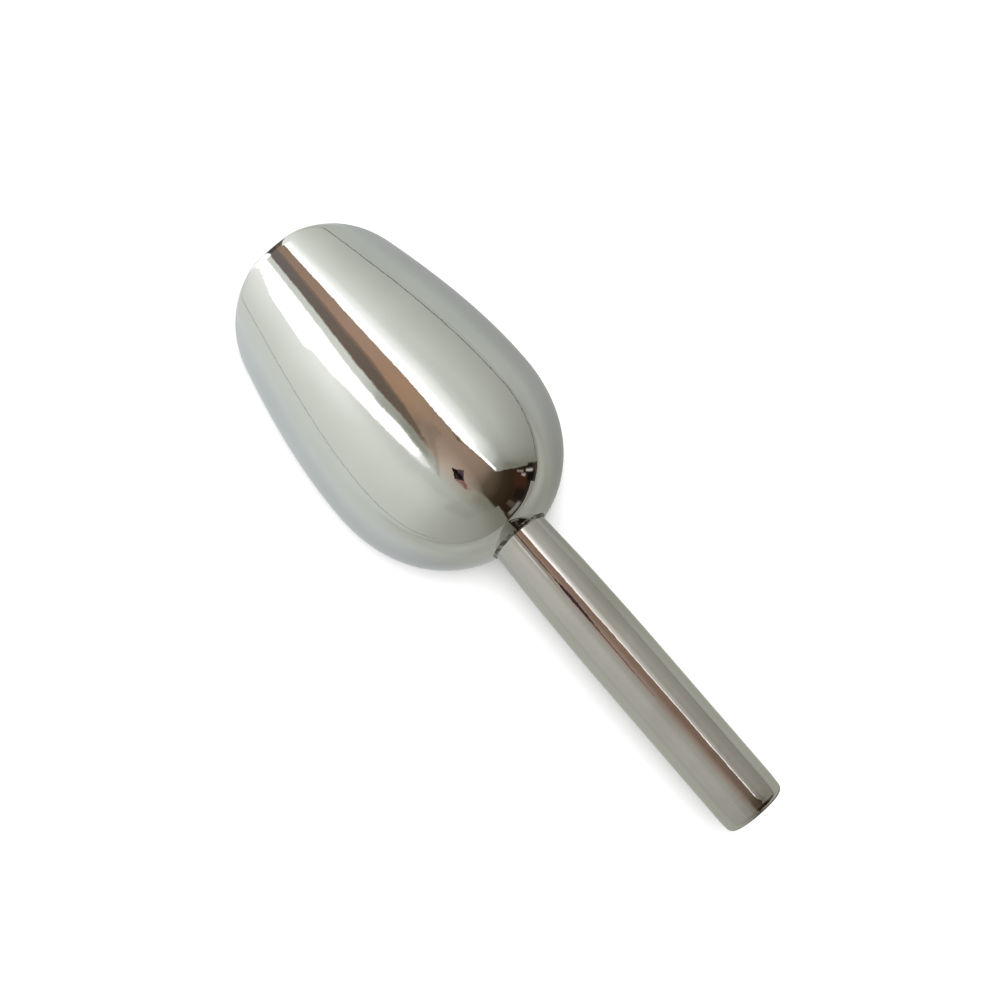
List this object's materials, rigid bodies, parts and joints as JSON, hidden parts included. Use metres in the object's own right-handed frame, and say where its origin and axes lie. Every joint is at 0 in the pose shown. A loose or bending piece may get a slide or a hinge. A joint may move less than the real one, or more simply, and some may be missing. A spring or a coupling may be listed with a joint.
{
  "type": "ice scoop",
  "caption": "Bar ice scoop in mirror polished stainless steel: tapered round-backed bowl with a slanted mouth, straight hollow tube handle with a rounded closed end.",
  "frame": {"origin": "in the plane of the bowl's rim, below the middle of the overall length, on the plane of symmetry; the scoop lies mouth down on its rim", "axes": "+X along the handle from the pouring lip to the free end, +Z out of the convex back of the bowl, +Y across"},
  "size_m": [0.2118, 0.0716, 0.0348],
  "materials": {
    "bowl_steel": "polished",
    "handle_steel": "polished",
    "weld_steel": "polished"
  },
  "bodies": {
    "root": {"bowl": "bowl_steel", "handle_tube": "handle_steel", "handle_end_cap": "handle_steel", "cap_weld_bead": "handle_steel", "bowl_weld_bead": "weld_steel"}
  },
  "joints": []
}
